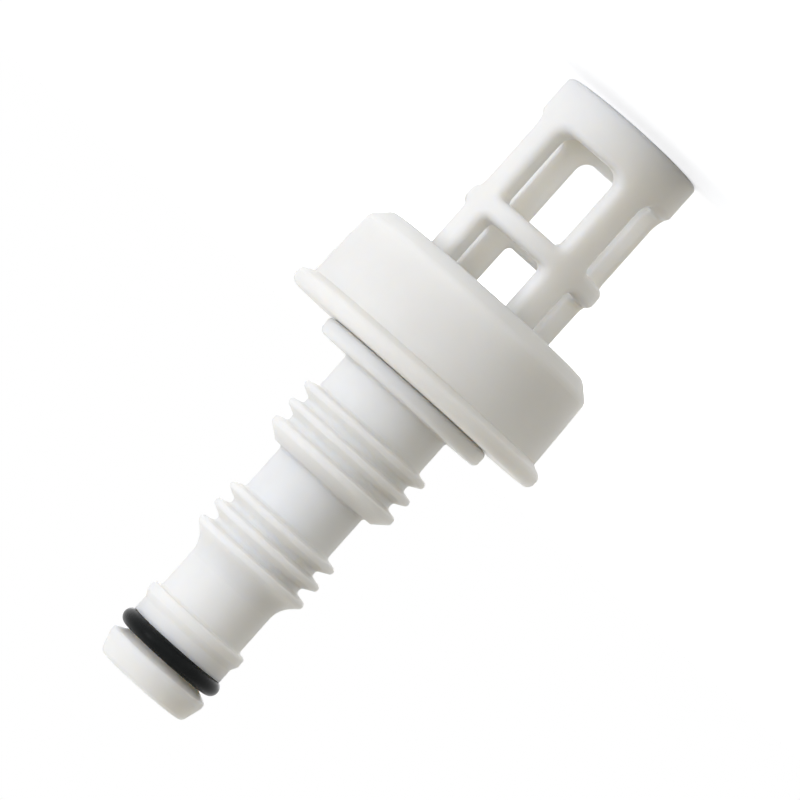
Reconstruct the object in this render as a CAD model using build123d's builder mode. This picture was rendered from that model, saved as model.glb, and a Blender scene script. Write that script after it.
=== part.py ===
from build123d import *
from math import asin, hypot, radians, tan
import os

# Drain adapter for a garden pool: a windowed cage, a loose threaded collar and a barbed hose tail.
# It stands on the end ring of its cage with the tail up, and the origin is the middle of that ring's face.
# All sizes are in millimetres.

# Cage that reaches into the drain valve
cage_radius = 11.0
cage_wall = 2.75
bar_count = 4
bar_width = 5.2
end_ring_height = 6.05
upper_window_height = 12.1
middle_ring_height = 3.15
lower_window_height = 11.0
base_ring_height = 6.9
window_corner_round = 1.0
end_corner_round = 2.0
window_edge_round = 1.1
window_inner_round = 0.3
end_ring_round = 0.7
inlet_step = 0.25
inlet_depth = 4.5
mouth_chamfer = 0.4
tolerance = 0.01

# Neck that the collar turns on, between the sealing flange and the retaining disc
neck_radius = 11.9
collar_seat_gap = 0.05
collar_end_play = 0.1
collar_side_play = 0.8
flange_reach = 1.9
flange_thickness = 2.2
flange_round = 0.3
disc_catch = 0.87
disc_thickness = 2.35
disc_front_round = 0.6
disc_tail_round = 0.9

# Collar
collar_height = 15.45
collar_back_wall = 2.4
thread_room = 0.9
barrel_wall = 3.25
barrel_draft = 0.32
rim_flat = 0.7
rim_bevel_height = 2.1
rim_corner_round = 1.4
rim_front_round = 1.2
collar_bore_chamfer = 0.3
grip_reach = 1.68
grip_height = 3.05
grip_slope = 0.9
grip_front_round = 0.9
grip_back_round = 1.2

# Sealing washer, on a seat at the top of the base ring
washer_thickness = 2.0
washer_seat_step = 0.4
washer_round = 0.25

# Tail: barbs for a wide hose, then barbs for a narrow hose
wide_tube_radius = 8.66
wide_tube_length = 5.4
wide_wall = 1.96
wide_barb_height = 1.67
wide_barb_pitch = 3.02
narrow_tube_step = 1.19
narrow_tube_length = 7.08
narrow_wall = 1.81
narrow_barb_height = 1.79
narrow_barb_pitch = 2.98
barb_count = 3
barb_crest_width = 0.8
barb_back_angle = 13.0
barb_ramp_angle = 27.0
barb_crest_round = 0.5
barb_root_round = 0.45
step_crest_width = 1.0
step_drop = 0.36
step_ramp_angle = 38.5
step_round = 0.45
flare_ramp_angle = 40.0
flare_round = 3.9

# Push-fit nose with its O-ring groove
nose_neck_step = 0.39
nose_neck_length = 7.85
nose_wall = 2.42
shoulder_height = 1.11
shoulder_length = 1.4
shoulder_taper = 0.9
shoulder_round = 0.45
land_drop = 0.5
land_length = 2.1
groove_depth = 1.68
groove_slope = 1.05
ring_section = 2.4
ring_play = 0.05
tip_lip = 0.5
tip_land = 0.75
tip_taper = 0.88
tip_taper_length = 2.85
tip_crest_round = 0.35
tip_end_round = 0.85

# Radii that follow from these
cage_bore_radius = cage_radius - cage_wall
inlet_radius = cage_bore_radius + inlet_step
washer_seat_radius = cage_radius + washer_seat_step
collar_hole_radius = neck_radius + collar_side_play
flange_radius = collar_hole_radius + flange_reach
disc_radius = collar_hole_radius + disc_catch
collar_bore_radius = flange_radius + thread_room
rim_radius = collar_bore_radius + barrel_wall
barrel_root_radius = rim_radius + barrel_draft
grip_radius = barrel_root_radius + grip_reach
wide_bore_radius = wide_tube_radius - wide_wall
wide_barb_radius = wide_tube_radius + wide_barb_height
step_radius = wide_tube_radius - step_drop
narrow_tube_radius = step_radius - narrow_tube_step
narrow_bore_radius = narrow_tube_radius - narrow_wall
narrow_barb_radius = narrow_tube_radius + narrow_barb_height
nose_neck_radius = narrow_tube_radius - nose_neck_step
nose_bore_radius = nose_neck_radius - nose_wall
shoulder_radius = nose_neck_radius + shoulder_height
land_radius = shoulder_radius - land_drop
groove_radius = land_radius - groove_depth
tip_radius = land_radius + tip_lip
tip_end_radius = tip_radius - tip_taper

# Heights above the end ring's face
middle_ring_bottom = end_ring_height + upper_window_height
lower_window_bottom = middle_ring_bottom + middle_ring_height
base_ring_bottom = lower_window_bottom + lower_window_height
flange_bottom = base_ring_bottom + base_ring_height
flange_top = flange_bottom + flange_thickness
washer_bottom = flange_bottom - washer_thickness
collar_wall_bottom = flange_top + collar_seat_gap
collar_top = collar_wall_bottom + collar_back_wall
collar_bottom = collar_top - collar_height
disc_bottom = collar_top + collar_end_play
disc_top = disc_bottom + disc_thickness
wide_barb_bottom = disc_top + wide_tube_length


def barb(root_radius, crest_radius, bottom, crest_width, foot_radius, ramp_angle, foot_round):
    """Corners of one barb: steep back below, rounded crest, ramp towards the tip."""
    back = bottom + (crest_radius - root_radius) * tan(radians(barb_back_angle))
    front = back + crest_width
    foot = front + (crest_radius - foot_radius) * tan(radians(ramp_angle))
    return [
        (root_radius, bottom, barb_root_round),
        (crest_radius, back, barb_crest_round),
        (crest_radius, front, barb_crest_round),
        (foot_radius, foot, foot_round),
    ]


def barb_group(root_radius, crest_radius, bottom, pitch, last_barb):
    """Corners of a row of barbs. The last one ramps down to what follows it."""
    corners = []
    plain_barb = (barb_crest_width, root_radius, barb_ramp_angle, barb_root_round)
    for i in range(barb_count):
        form = last_barb if i == barb_count - 1 else plain_barb
        corners += barb(root_radius, crest_radius, bottom + i * pitch, *form)
    return corners


wide_barbs = barb_group(
    wide_tube_radius,
    wide_barb_radius,
    wide_barb_bottom,
    wide_barb_pitch,
    (step_crest_width, step_radius, step_ramp_angle, step_round),
)
narrow_tube_bottom = wide_barbs[-1][1]
narrow_barb_bottom = narrow_tube_bottom + narrow_tube_length
narrow_barbs = barb_group(
    narrow_tube_radius,
    narrow_barb_radius,
    narrow_barb_bottom,
    narrow_barb_pitch,
    (barb_crest_width, nose_neck_radius, flare_ramp_angle, flare_round),
)
nose_neck_bottom = narrow_barbs[-1][1]
shoulder_bottom = nose_neck_bottom + nose_neck_length
shoulder_top = shoulder_bottom + shoulder_length
land_bottom = shoulder_top + shoulder_taper
groove_bottom = land_bottom + land_length
groove_top = groove_bottom + ring_section + ring_play
tip_bottom = groove_top + groove_slope
tip_taper_bottom = tip_bottom + tip_land
tail_end = tip_taper_bottom + tip_taper_length


def outline(corners):
    """Closed profile beside the axis from (radius, height, rounding) corners."""
    with BuildSketch(Plane.XZ) as profile:
        with BuildLine():
            FilletPolyline(
                [(radius, height) for radius, height, rounding in corners],
                radius=[rounding for radius, height, rounding in corners],
                close=True,
            )
        make_face()
    return profile.sketch


def on_wall(edge, wall_radius):
    """True for an edge of a window where it meets a round wall of the cage."""
    middle = edge @ 0.5
    beside_window = end_ring_height - tolerance < middle.Z < base_ring_bottom + tolerance
    seam = edge.geom_type == GeomType.LINE and abs(middle.Y) < tolerance
    return beside_window and not seam and abs(hypot(middle.X, middle.Y) - wall_radius) < tolerance


body_corners = [
    (0, 0, 0),
    (cage_radius, 0, end_ring_round),
    (cage_radius, washer_bottom - washer_seat_step, 0),
    (washer_seat_radius, washer_bottom, 0),
    (washer_seat_radius, flange_bottom, 0),
    (flange_radius, flange_bottom, flange_round),
    (flange_radius, flange_top, flange_round),
    (neck_radius, flange_top, 0),
    (neck_radius, disc_bottom, 0),
    (disc_radius, disc_bottom, disc_front_round),
    (disc_radius, disc_top, disc_tail_round),
    (wide_tube_radius, disc_top, barb_root_round),
    *wide_barbs,
    (narrow_tube_radius, narrow_tube_bottom, barb_root_round),
    *narrow_barbs,
    (nose_neck_radius, shoulder_bottom, barb_root_round),
    (shoulder_radius, shoulder_bottom, shoulder_round),
    (shoulder_radius, shoulder_top, shoulder_round),
    (land_radius, land_bottom, shoulder_round),
    (land_radius, groove_bottom, 0),
    (groove_radius, groove_bottom, 0),
    (groove_radius, groove_top, 0),
    (tip_radius, tip_bottom, tip_crest_round),
    (tip_radius, tip_taper_bottom, tip_crest_round),
    (tip_end_radius, tail_end, tip_end_round),
    (0, tail_end, 0),
]

# The water passage narrows towards the tail in steps, each by a cone of 45 degrees
passage_corners = [
    (0, 0, 0),
    (inlet_radius + mouth_chamfer, 0, 0),
    (inlet_radius, mouth_chamfer, 0),
    (inlet_radius, inlet_depth, 0),
    (cage_bore_radius, inlet_depth + inlet_step, 0),
    (cage_bore_radius, disc_bottom, 0),
    (wide_bore_radius, disc_bottom + cage_bore_radius - wide_bore_radius, 0),
    (wide_bore_radius, narrow_tube_bottom - wide_bore_radius + narrow_bore_radius, 0),
    (narrow_bore_radius, narrow_tube_bottom, 0),
    (narrow_bore_radius, nose_neck_bottom, 0),
    (nose_bore_radius, nose_neck_bottom + narrow_bore_radius - nose_bore_radius, 0),
    (nose_bore_radius, tail_end - mouth_chamfer, 0),
    (nose_bore_radius + mouth_chamfer, tail_end, 0),
    (0, tail_end, 0),
]

with BuildPart() as adapter_body:
    revolve(outline(body_corners), axis=Axis.Z)
    revolve(outline(passage_corners), axis=Axis.Z, mode=Mode.SUBTRACT)

    # Windows between the bars, in two rows
    window_half_angle = radians(180 / bar_count) - asin(bar_width / 2 / cage_radius)
    window_reach = 2 * cage_radius
    window_half_width = window_reach * tan(window_half_angle)
    for bottom, height in (
        (end_ring_height, upper_window_height),
        (lower_window_bottom, lower_window_height),
    ):
        with BuildSketch(Plane.XY.offset(bottom)):
            with PolarLocations(0, bar_count):
                Polygon(
                    (0, 0),
                    (window_reach, -window_half_width),
                    (window_reach, window_half_width),
                    align=None,
                )
        extrude(amount=height, mode=Mode.SUBTRACT)

    # Rounded window corners, then softened edges outside and inside
    corner_edges = adapter_body.edges().filter_by(GeomType.LINE).filter_by(Plane.XY).group_by(Axis.Z)
    fillet(corner_edges[0], radius=end_corner_round)
    corner_edges = adapter_body.edges().filter_by(GeomType.LINE).filter_by(Plane.XY).group_by(Axis.Z)
    fillet(corner_edges[-3] + corner_edges[-2] + corner_edges[-1], radius=window_corner_round)
    fillet(adapter_body.edges().filter_by(lambda e: on_wall(e, cage_radius)), radius=window_edge_round)
    fillet(adapter_body.edges().filter_by(lambda e: on_wall(e, cage_bore_radius)), radius=window_inner_round)

with BuildPart() as swivel_collar:
    grip_bottom = collar_top - grip_height
    mouth_radius = collar_bore_radius + collar_bore_chamfer
    revolve(
        outline(
            [
                (mouth_radius, collar_bottom, 0),
                (mouth_radius + rim_flat, collar_bottom, rim_front_round),
                (rim_radius, collar_bottom + rim_bevel_height, rim_corner_round),
                (barrel_root_radius, grip_bottom, 0),
                (grip_radius, grip_bottom + grip_slope, grip_front_round),
                (grip_radius, collar_top, grip_back_round),
                (collar_hole_radius, collar_top, 0),
                (collar_hole_radius, collar_wall_bottom, 0),
                (collar_bore_radius, collar_wall_bottom, 0),
                (collar_bore_radius, collar_bottom + collar_bore_chamfer, 0),
            ]
        ),
        axis=Axis.Z,
    )

with BuildPart() as nose_o_ring:
    ring_radius = ring_section / 2
    with BuildSketch(Plane.XZ):
        with Locations((groove_radius + ring_radius, (groove_bottom + groove_top) / 2)):
            Circle(ring_radius)
    revolve(axis=Axis.Z)

with BuildPart() as collar_washer:
    with BuildSketch(Plane.XY.offset(washer_bottom)):
        Circle(flange_radius)
        Circle(washer_seat_radius, mode=Mode.SUBTRACT)
    extrude(amount=washer_thickness)
    outer_edges = collar_washer.edges().filter_by(GeomType.CIRCLE).sort_by(SortBy.RADIUS)[-2:]
    fillet(outer_edges, radius=washer_round)

os.makedirs("parts", exist_ok=True)
for name, piece in (
    ("adapter_body", adapter_body),
    ("swivel_collar", swivel_collar),
    ("nose_o_ring", nose_o_ring),
    ("collar_washer", collar_washer),
):
    piece.part.label = name
    export_step(piece.part, f"parts/{name}.step")
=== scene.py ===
# %% [markdown]
# # A drain adapter for a garden pool
#
# The adapter is three things in one line: a slotted cage that pushes the drain flap open, a loose collar
# that screws onto the valve, and a hose tail with barbs for two hoses and a push-fit nose. The solid pieces
# were drawn in a CAD program, and they arrive here at their real size, in metres, standing on the cage.
# This lesson gives them their finishes, adds the thread that the CAD model leaves out, and sets up the
# studio.

# %% Load the solid pieces
import math

import bpy
from mathutils import Matrix, Vector


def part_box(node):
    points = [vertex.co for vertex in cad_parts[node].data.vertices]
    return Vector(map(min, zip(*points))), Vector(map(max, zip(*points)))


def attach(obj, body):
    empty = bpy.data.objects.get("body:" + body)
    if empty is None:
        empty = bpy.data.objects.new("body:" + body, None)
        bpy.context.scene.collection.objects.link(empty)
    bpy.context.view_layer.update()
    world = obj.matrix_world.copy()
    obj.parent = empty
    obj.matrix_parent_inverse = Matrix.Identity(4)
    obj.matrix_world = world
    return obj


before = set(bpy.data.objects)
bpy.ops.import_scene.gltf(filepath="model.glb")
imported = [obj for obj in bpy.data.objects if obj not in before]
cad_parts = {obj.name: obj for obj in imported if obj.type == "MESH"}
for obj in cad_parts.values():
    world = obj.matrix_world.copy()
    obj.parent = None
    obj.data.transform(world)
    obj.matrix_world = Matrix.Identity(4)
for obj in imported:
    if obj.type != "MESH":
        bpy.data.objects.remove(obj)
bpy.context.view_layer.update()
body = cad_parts["adapter_body"]
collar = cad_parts["swivel_collar"]
o_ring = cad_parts["nose_o_ring"]
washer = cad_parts["collar_washer"]
MM = 0.001


# %% [markdown]
# ## Starting a finish
#
# Every finish below is a Principled shader whose colour, roughness and fine relief come from noise. The
# noise reads Object coordinates, which are metres on these pieces, so a scale of 1000 means a grain of
# about one millimetre. Image textures would need unwrapped pieces; noise needs nothing, and it looks the
# same all round. Five small helpers keep the finishes short. One starts a material and one adds a noise to
# it. The other three send that noise to a number, to a colour or to the relief. A noise seldom leaves the
# middle of its range, so that middle is stretched over the whole blend.

# %% Helpers for the finishes
NOISE_LOW = 0.3
NOISE_HIGH = 0.7


def new_finish(name):
    """A material with its shader and a point to read positions from."""
    finish = bpy.data.materials.new(name)
    finish.use_nodes = True
    shader = finish.node_tree.nodes["Principled BSDF"]
    place = finish.node_tree.nodes.new("ShaderNodeTexCoord")
    return finish, shader, place.outputs["Object"]


def add_noise(finish, place, scale, detail):
    """A noise over the piece, from 0 to 1."""
    noise = finish.node_tree.nodes.new("ShaderNodeTexNoise")
    noise.inputs["Scale"].default_value = scale
    noise.inputs["Detail"].default_value = detail
    finish.node_tree.links.new(place, noise.inputs["Vector"])
    return noise.outputs["Fac"]


def spread(finish, value, low, high, socket):
    """Sends a noise to a socket, spread between two numbers."""
    between = finish.node_tree.nodes.new("ShaderNodeMapRange")
    between.inputs["From Min"].default_value = NOISE_LOW
    between.inputs["From Max"].default_value = NOISE_HIGH
    between.inputs["To Min"].default_value = low
    between.inputs["To Max"].default_value = high
    finish.node_tree.links.new(value, between.inputs["Value"])
    finish.node_tree.links.new(between.outputs["Result"], socket)


def tint(finish, value, dark, light, socket):
    """Sends a noise to a colour socket, as a blend of two colours."""
    ramp = finish.node_tree.nodes.new("ShaderNodeValToRGB")
    ramp.color_ramp.elements[0].position = NOISE_LOW
    ramp.color_ramp.elements[1].position = NOISE_HIGH
    ramp.color_ramp.elements[0].color = (*dark, 1)
    ramp.color_ramp.elements[1].color = (*light, 1)
    finish.node_tree.links.new(value, ramp.inputs["Fac"])
    finish.node_tree.links.new(ramp.outputs["Color"], socket)


def relief(finish, value, depth, strength, shader):
    """Sends a noise to the shader's normal as a fine relief, with its depth in metres."""
    bump = finish.node_tree.nodes.new("ShaderNodeBump")
    bump.inputs["Distance"].default_value = depth
    bump.inputs["Strength"].default_value = strength
    finish.node_tree.links.new(value, bump.inputs["Height"])
    finish.node_tree.links.new(bump.outputs["Normal"], shader.inputs["Normal"])


print("finish helpers ready")


# %% [markdown]
# ## White moulded plastic
#
# The body and the collar are injection moulded in white polypropylene. It is not pure white: the melt
# leaves faint cloudy patches, the surface has a satin grain from the mould, and a little light sinks in
# before it comes back out, which softens the edges of the windows and barbs. A flat white would look like
# plaster, so three noises of very different sizes give the clouds, the patchy gloss and the grain. A weak
# coat on top stands for the smooth skin that the mould leaves: it keeps the soft bright line that a lamp
# draws along the tubes.

# %% White plastic on the body and the collar
CLOUDS = {"scale": 70, "detail": 3}
GLOSS_PATCHES = {"scale": 260, "detail": 4}
MOULD_GRAIN = {"scale": 2600, "detail": 2}
GRAIN_DEPTH = 0.02 * MM
GRAIN_STRENGTH = 0.25
PLASTIC_IOR = 1.49
PLASTIC_SHEEN = 0.25
COAT_WEIGHT = 0.12
COAT_ROUGHNESS = 0.07
SUNK_SHARE = 1.0
LIGHT_REACH = (1.0, 0.9, 0.75)
REACH_DEPTH = 4.0 * MM


def white_plastic(name, dark, light, glossy, dull):
    """Satin white plastic between two close whites, with a roughness between glossy and dull."""
    finish, shader, place = new_finish(name)
    tint(finish, add_noise(finish, place, **CLOUDS), dark, light, shader.inputs["Base Color"])
    spread(finish, add_noise(finish, place, **GLOSS_PATCHES), glossy, dull, shader.inputs["Roughness"])
    relief(finish, add_noise(finish, place, **MOULD_GRAIN), GRAIN_DEPTH, GRAIN_STRENGTH, shader)
    shader.inputs["IOR"].default_value = PLASTIC_IOR
    shader.inputs["Specular IOR Level"].default_value = PLASTIC_SHEEN
    shader.inputs["Coat Weight"].default_value = COAT_WEIGHT
    shader.inputs["Coat Roughness"].default_value = COAT_ROUGHNESS
    shader.inputs["Subsurface Weight"].default_value = SUNK_SHARE
    shader.inputs["Subsurface Radius"].default_value = LIGHT_REACH
    shader.inputs["Subsurface Scale"].default_value = REACH_DEPTH
    return finish


body_white = white_plastic(
    "body_white",
    dark=(0.825, 0.815, 0.785),
    light=(0.870, 0.862, 0.835),
    glossy=0.38,
    dull=0.48,
)
collar_white = white_plastic(
    "collar_white",
    dark=(0.795, 0.785, 0.755),
    light=(0.840, 0.832, 0.805),
    glossy=0.40,
    dull=0.50,
)
body.data.materials.clear()
body.data.materials.append(body_white)
collar.data.materials.clear()
collar.data.materials.append(collar_white)
print("white plastic on", body.name, "and", collar.name)


# %% [markdown]
# ## Black rubber
#
# The O-ring on the nose and the washer inside the collar are black nitrile rubber. Rubber is nearly black
# but picks up pale dust, and it has a soft sheen rather than a sharp highlight. The dust is a noise that
# lifts the colour a little, and the same kind of noise makes the roughness uneven.

# %% Black rubber on the O-ring and the washer
DUST = {"scale": 420, "detail": 4}
WORN_PATCHES = {"scale": 420, "detail": 2}
RUBBER_SKIN = {"scale": 1900, "detail": 3}
SKIN_DEPTH = 0.03 * MM
SKIN_STRENGTH = 0.3
RUBBER_IOR = 1.52
RUBBER_SHEEN = 0.10


def black_rubber(name, bare, dusty, smooth, rough):
    """Black rubber between a bare and a dusty black, with a roughness between smooth and rough."""
    finish, shader, place = new_finish(name)
    tint(finish, add_noise(finish, place, **DUST), bare, dusty, shader.inputs["Base Color"])
    spread(finish, add_noise(finish, place, **WORN_PATCHES), smooth, rough, shader.inputs["Roughness"])
    relief(finish, add_noise(finish, place, **RUBBER_SKIN), SKIN_DEPTH, SKIN_STRENGTH, shader)
    shader.inputs["IOR"].default_value = RUBBER_IOR
    shader.inputs["Specular IOR Level"].default_value = RUBBER_SHEEN
    return finish


ring_rubber = black_rubber(
    "ring_rubber",
    bare=(0.003, 0.004, 0.004),
    dusty=(0.006, 0.007, 0.007),
    smooth=0.24,
    rough=0.32,
)
washer_rubber = black_rubber(
    "washer_rubber",
    bare=(0.010, 0.010, 0.010),
    dusty=(0.022, 0.022, 0.021),
    smooth=0.55,
    rough=0.70,
)
o_ring.data.materials.clear()
o_ring.data.materials.append(ring_rubber)
washer.data.materials.clear()
washer.data.materials.append(washer_rubber)
print("black rubber on", o_ring.name, "and", washer.name)


# %% [markdown]
# ## The thread in the collar
#
# The collar screws onto the drain valve, so its bore carries a thread of about three turns. A thread is one
# section carried round a helix. By hand that is a small flat outline and a Screw modifier, which turns it
# and lifts it at the same time. The section starts as a plane: its face is taken off so that only the
# outline is left, and the edge that faces the axis is made shorter, which gives the sloping flanks of a
# moulded thread.

# %% Draw the thread's section
collar_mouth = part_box("swivel_collar")[0].z
THREAD_ROOT = 15.55 * MM
THREAD_CREST = 14.75 * MM
THREAD_PITCH = 2.5 * MM
THREAD_TURNS = 2.75
THREAD_START = collar_mouth + 1.5 * MM
ROOT_WIDTH = 1.5 * MM
CREST_SHARE = 0.45

bpy.ops.object.select_all(action="DESELECT")
section_middle = ((THREAD_ROOT + THREAD_CREST) / 2, 0, THREAD_START)
bpy.ops.mesh.primitive_plane_add(size=1, location=section_middle, rotation=(math.pi / 2, 0, 0))
thread = bpy.context.object
thread.name = "collar_thread"
thread.scale = (THREAD_ROOT - THREAD_CREST, ROOT_WIDTH, 1)
bpy.ops.object.transform_apply(location=True, rotation=True, scale=True)

crest_corners = [v.index for v in thread.data.vertices if v.co.x < section_middle[0]]
bpy.ops.object.mode_set(mode="EDIT")
bpy.ops.mesh.delete(type="ONLY_FACE")
bpy.ops.mesh.select_mode(type="VERT")
bpy.ops.mesh.select_all(action="DESELECT")
bpy.ops.object.mode_set(mode="OBJECT")
for index in crest_corners:
    thread.data.vertices[index].select = True
bpy.ops.object.mode_set(mode="EDIT")
bpy.ops.transform.resize(value=(1, 1, CREST_SHARE), center_override=section_middle)
bpy.ops.object.mode_set(mode="OBJECT")
print("thread section has", len(thread.data.vertices), "corners")


# %% [markdown]
# ## Winding the thread
#
# The Screw modifier turns the section round the collar's axis and lifts it by one pitch a turn, and it is
# the same as turning a profile tool once round a mould. The ridge it leaves is a tube that is open at both
# ends, so the ends are filled and the normals are set to point outwards.

# %% Wind the thread and close its ends
STEPS_PER_TURN = 96
section_corners = len(thread.data.vertices)
winding = thread.modifiers.new("winding", "SCREW")
winding.axis = "Z"
winding.angle = math.tau * THREAD_TURNS
winding.screw_offset = THREAD_PITCH * THREAD_TURNS
winding.steps = round(STEPS_PER_TURN * THREAD_TURNS)
winding.render_steps = winding.steps
winding.use_merge_vertices = False
bpy.ops.object.modifier_apply(modifier=winding.name)

bpy.ops.object.mode_set(mode="EDIT")
bpy.ops.mesh.select_all(action="SELECT")
bpy.ops.mesh.fill_holes(sides=section_corners)
bpy.ops.mesh.normals_make_consistent(inside=False)
bpy.ops.object.mode_set(mode="OBJECT")
print("thread has", len(thread.data.vertices), "points")


# %% [markdown]
# ## Running the thread out
#
# A thread that stops dead would look sawn off and would catch on the valve. A moulded thread fades into the
# bore at both ends. Proportional editing does that: each end is pushed outwards, away from the axis, and
# the points along the ridge follow it less and less. The ends sink behind the bore's wall, where they are
# out of sight.

# %% Let the ends run out into the bore
RUN_OUT = 7 * MM
SINK = 1.06
SMOOTH_ANGLE = math.radians(35)
last_point = len(thread.data.vertices) - section_corners
for first in (0, last_point):
    bpy.ops.object.mode_set(mode="EDIT")
    bpy.ops.mesh.select_all(action="DESELECT")
    bpy.ops.object.mode_set(mode="OBJECT")
    for index in range(first, first + section_corners):
        thread.data.vertices[index].select = True
    bpy.ops.object.mode_set(mode="EDIT")
    bpy.ops.transform.resize(
        value=(SINK, SINK, 1),
        center_override=(0, 0, 0),
        use_proportional_edit=True,
        use_proportional_connected=True,
        proportional_edit_falloff="SMOOTH",
        proportional_size=RUN_OUT,
    )
    bpy.ops.object.mode_set(mode="OBJECT")
bpy.ops.object.shade_smooth_by_angle(angle=SMOOTH_ANGLE)
thread.data.materials.append(collar_white)
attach(thread, "collar")
print("thread ends sunk to a radius of", round(thread.data.vertices[0].co.xy.length / MM, 2), "mm")


# %% [markdown]
# ## Floor and background
#
# The adapter is shown on plain white. The floor is an ordinary matt sheet that catches the soft shadow at
# the foot of the cage. For the camera and for reflections it also glows a little, just enough to bring the
# sheet up to white where no shadow falls. The glow lights nothing, so the object gets no more light from
# it. The floor lets lamplight through from below, as the glass of a light table does.

# %% Floor
FLOOR_RADIUS = 4.0
FLOOR_SIDES = 96
FLOOR_DROP = 0.02 * MM
FLOOR_WHITE = (0.88, 0.88, 0.88, 1)
FLOOR_LIFT = 0.55
FLOOR_GLOW = (0.92, 0.945, 1.0, 1)


def background_rays(tree):
    """1 for the rays that show the background: the camera's own, reflections and rays through glass."""
    path = tree.nodes.new("ShaderNodeLightPath")
    shown = path.outputs["Is Camera Ray"]
    for ray in ("Is Glossy Ray", "Is Transmission Ray"):
        either = tree.nodes.new("ShaderNodeMath")
        either.operation = "MAXIMUM"
        tree.links.new(shown, either.inputs[0])
        tree.links.new(path.outputs[ray], either.inputs[1])
        shown = either.outputs["Value"]
    return shown


bpy.ops.object.select_all(action="DESELECT")
bpy.ops.mesh.primitive_circle_add(
    vertices=FLOOR_SIDES, radius=FLOOR_RADIUS, fill_type="NGON", location=(0, 0, -FLOOR_DROP)
)
floor = bpy.context.object
floor.name = "floor"
floor.visible_shadow = False

floor_white = bpy.data.materials.new("floor_white")
floor_white.use_nodes = True
tree = floor_white.node_tree
tree.nodes.remove(tree.nodes["Principled BSDF"])
matt = tree.nodes.new("ShaderNodeBsdfDiffuse")
matt.inputs["Color"].default_value = FLOOR_WHITE
lift = tree.nodes.new("ShaderNodeMath")
lift.operation = "MULTIPLY"
lift.inputs[1].default_value = FLOOR_LIFT
tree.links.new(background_rays(tree), lift.inputs[0])
glow = tree.nodes.new("ShaderNodeEmission")
glow.inputs["Color"].default_value = FLOOR_GLOW
tree.links.new(lift.outputs["Value"], glow.inputs["Strength"])
both = tree.nodes.new("ShaderNodeAddShader")
tree.links.new(matt.outputs["BSDF"], both.inputs[0])
tree.links.new(glow.outputs["Emission"], both.inputs[1])
tree.links.new(both.outputs["Shader"], tree.nodes["Material Output"].inputs["Surface"])
floor.data.materials.append(floor_white)
print("floor", 2 * FLOOR_RADIUS, "m across")


# %% [markdown]
# ## The room round it
#
# The world stands for the pale walls of a studio. It sends a low, slightly warm light from every side,
# which is what fills the shaded side of the barbs. The camera and the reflections see a plain white
# backdrop instead, so the picture ends in the same white as the floor and no horizon shows.

# %% World
WORLD_LEVEL = 0.30
WORLD_COLOUR = (1.0, 0.935, 0.79)
BACKDROP_WHITE = (1, 1, 1, 1)

world = bpy.data.worlds.new("studio")
bpy.context.scene.world = world
world.use_nodes = True
tree = world.node_tree
ambient = tree.nodes["Background"]
ambient.inputs["Color"].default_value = (*WORLD_COLOUR, 1)
ambient.inputs["Strength"].default_value = WORLD_LEVEL
backdrop = tree.nodes.new("ShaderNodeBackground")
backdrop.inputs["Color"].default_value = BACKDROP_WHITE
choice = tree.nodes.new("ShaderNodeMixShader")
tree.links.new(background_rays(tree), choice.inputs["Fac"])
tree.links.new(ambient.outputs["Background"], choice.inputs[1])
tree.links.new(backdrop.outputs["Background"], choice.inputs[2])
tree.links.new(choice.outputs["Shader"], tree.nodes["World Output"].inputs["Surface"])
print("world light", WORLD_LEVEL, "backdrop", backdrop.inputs["Strength"].default_value)


# %% [markdown]
# ## Camera
#
# The picture was taken from the side with a long lens, and the adapter lies across it from the lower left
# to the upper right. Here the adapter stands on its cage instead, so the camera is rolled: the tail's
# direction, which is up in this scene, points to the lower left of the picture. The camera is placed by
# three numbers: the direction it looks from, its distance, and the roll.

# %% Camera at the picture's angle
PICTURE_PIXELS = 800
PIXEL_SIZE = 0.13 * MM
SENSOR_WIDTH = 36
VIEW_DIRECTION = math.radians(255.5)
VIEW_ELEVATION = math.radians(0.7)
VIEW_DISTANCE = 0.689
TAIL_ACROSS = 0.6653
TAIL_DOWN = 0.7466
AIM_HEIGHT = 46.1 * MM
AIM_ASIDE = 0.43 * MM

back = Vector((math.cos(VIEW_DIRECTION), math.sin(VIEW_DIRECTION), 0)) * math.cos(VIEW_ELEVATION)
back.z = math.sin(VIEW_ELEVATION)
aside = Vector((math.sin(VIEW_DIRECTION), -math.cos(VIEW_DIRECTION), 0))
cageward = back.cross(aside)
right = TAIL_ACROSS * cageward + TAIL_DOWN * aside
up = TAIL_DOWN * cageward - TAIL_ACROSS * aside

lens_data = bpy.data.cameras.new("camera")
lens_data.sensor_width = SENSOR_WIDTH
lens_data.lens = SENSOR_WIDTH * VIEW_DISTANCE / (PIXEL_SIZE * PICTURE_PIXELS)
camera = bpy.data.objects.new("camera", lens_data)
bpy.context.scene.collection.objects.link(camera)
turn = Matrix((right, up, back)).transposed().to_4x4()
aim = Vector((0, 0, AIM_HEIGHT)) + AIM_ASIDE * aside
camera.matrix_world = Matrix.Translation(aim + VIEW_DISTANCE * back) @ turn
bpy.context.scene.camera = camera
bpy.context.scene.view_settings.view_transform = "Standard"
print("camera with a lens of", round(lens_data.lens, 1), "mm")


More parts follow.
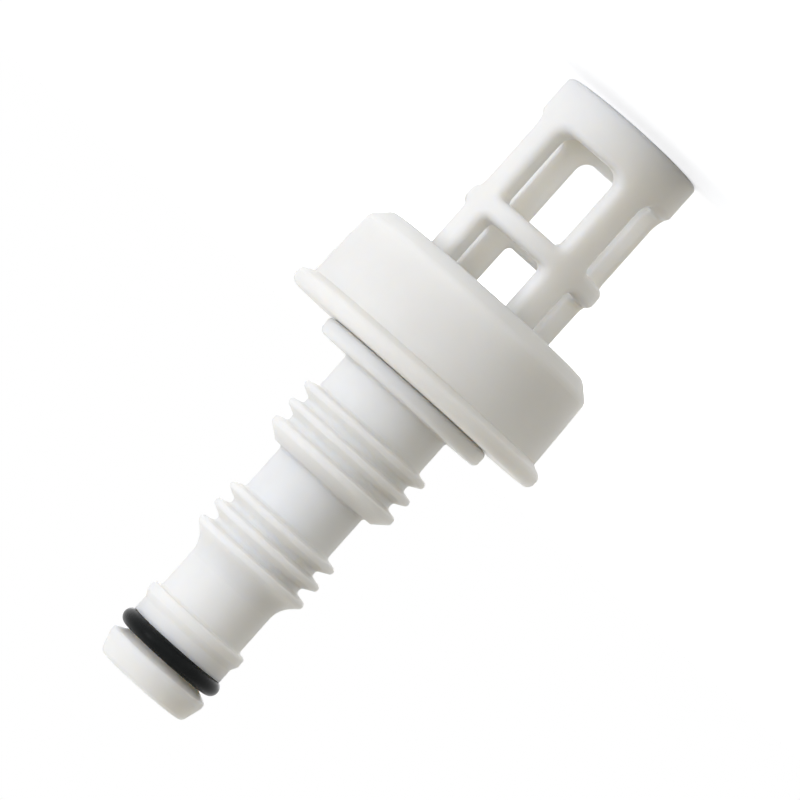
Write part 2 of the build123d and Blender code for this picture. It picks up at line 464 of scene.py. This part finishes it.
# %% [markdown]
# ## Lamps
#
# In the picture the light comes from the left, square to the adapter's axis. The key panel therefore stands
# low, with its lower part under the floor, and shines up through the floor as well. A narrow strip in front
# of it draws a soft bright line along the tubes. A panel behind the adapter sends some light through the
# thin walls of the cage and gives the back its shape. The high light lays the soft shadow on the floor. It
# is a sun lamp, because a sun lights the whole floor evenly, and its wide angle keeps the shadow soft.
#
# The lamps are hidden from the camera, as they would stand outside the picture in a studio. The two large
# panels are hidden from reflections too, because a bright panel behind an object draws a glaring line along
# its outline and burns out the flat tops of the collar and the disc.

# %% Soft lights
def away_from(direction, elevation):
    """The direction from the adapter towards a lamp, from two angles in degrees."""
    turned, raised = math.radians(direction), math.radians(elevation)
    level = math.cos(raised)
    return Vector((math.cos(turned) * level, math.sin(turned) * level, math.sin(raised)))


def add_lamp(name, kind, away, distance, power, colour):
    """A lamp that looks at the point the camera aims at, hidden from the camera."""
    data = bpy.data.lights.new(name, kind)
    data.energy = power
    data.color = colour
    lamp = bpy.data.objects.new(name, data)
    bpy.context.scene.collection.objects.link(lamp)
    lamp.location = aim + distance * away
    lamp.rotation_euler = (-away).to_track_quat("-Z", "Y").to_euler()
    lamp.visible_camera = False
    return data


def add_panel(name, away, distance, width, height, power, colour):
    """A lamp in the form of a rectangular panel, with its sides in metres."""
    data = add_lamp(name, "AREA", away, distance, power, colour)
    data.shape = "RECTANGLE"
    data.size = width
    data.size_y = height


KEY_WHITE = (0.87, 0.90, 1.0)
COOL_WHITE = (0.95, 0.97, 1.0)
KEY_SIDE = away_from(306, 6)
STRIP_SIDE = away_from(309.5, 6)
BACK_SIDE = away_from(75.5, 6)
HIGH_SIDE = away_from(75.5, 70)
HIGH_SPREAD = math.radians(40)

add_panel("key_panel", KEY_SIDE, distance=1.3, width=0.85, height=0.8, power=10.9, colour=KEY_WHITE)
add_panel("strip_panel", STRIP_SIDE, distance=1.25, width=0.025, height=0.8, power=1.3, colour=COOL_WHITE)
add_panel("back_panel", BACK_SIDE, distance=0.9, width=0.4, height=0.22, power=3.4, colour=COOL_WHITE)
for name in ("key_panel", "back_panel"):
    bpy.data.objects[name].visible_glossy = False
high_light = add_lamp("high_light", "SUN", HIGH_SIDE, distance=1.0, power=1.0, colour=COOL_WHITE)
high_light.angle = HIGH_SPREAD
print("lamps:", sorted(lamp.name for lamp in bpy.data.lights))
